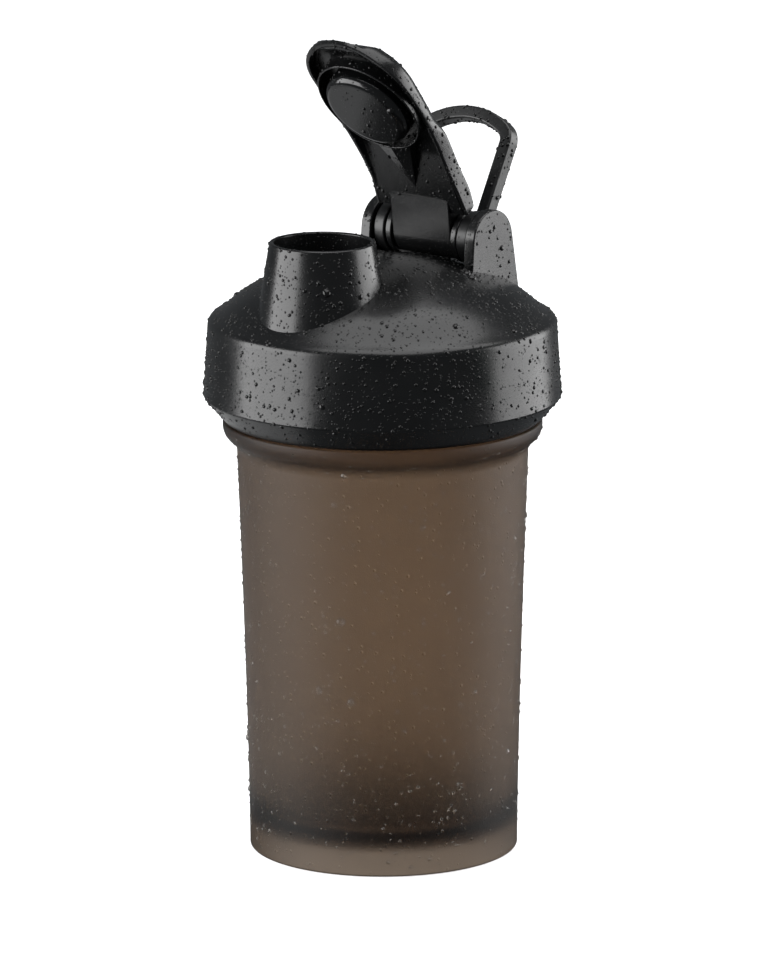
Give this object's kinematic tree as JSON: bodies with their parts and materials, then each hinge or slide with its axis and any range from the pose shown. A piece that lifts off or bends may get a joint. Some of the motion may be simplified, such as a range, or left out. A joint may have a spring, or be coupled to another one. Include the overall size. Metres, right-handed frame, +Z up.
{
  "type": "shaker bottle",
  "caption": "Protein shaker bottle: tapered frosted jar, screw lid with a drinking spout, flip cap that plugs the spout, and a carry loop on the same hinge.",
  "frame": {"origin": "centre of the base, on the jar's axis, at the height it stands on", "axes": "+Z up along the jar's axis; -Y towards the spout; the hinge axis lies along X on the +Y side"},
  "size_m": [0.0984, 0.0984, 0.2279],
  "materials": {
    "frosted_jar": "frosted translucent smoke-brown polypropylene",
    "black_shell": "fine satin texture",
    "seal_rubber": "matte silicone",
    "grid_plastic": "moulded"
  },
  "bodies": {
    "jar": {"jar": "frosted_jar"},
    "gasket": {"lid_gasket": "seal_rubber"},
    "lid": {"lid": "black_shell", "mixing_grid": "grid_plastic"},
    "flip_cap": {"flip_cap": "black_shell", "spout_seal": "seal_rubber"},
    "carry_loop": {"carry_loop": "black_shell"}
  },
  "joints": [
    {"name": "lid_lift", "type": "slide", "parent": "jar", "child": "gasket", "axis": [0, 0, 1], "range_m": [0, 0.00751]},
    {"name": "lid_turn", "type": "hinge", "parent": "gasket", "child": "lid", "pos_m": [0, 0, 0.13], "axis": [0, 0, 1], "range_deg": [0, 450]},
    {"name": "cap_hinge", "type": "hinge", "parent": "lid", "child": "flip_cap", "pos_m": [0, 0.0234, 0.1692], "axis": [-1, 0, 0], "range_deg": [-52, 32]},
    {"name": "loop_hinge", "type": "hinge", "parent": "lid", "child": "carry_loop", "pos_m": [0, 0.0234, 0.1692], "axis": [-1, 0, 0], "range_deg": [0, 95]}
  ],
  "couplings": [
    {"joint": "lid_lift", "follows": "lid_turn", "m_per_rad": 0.00095493}
  ]
}
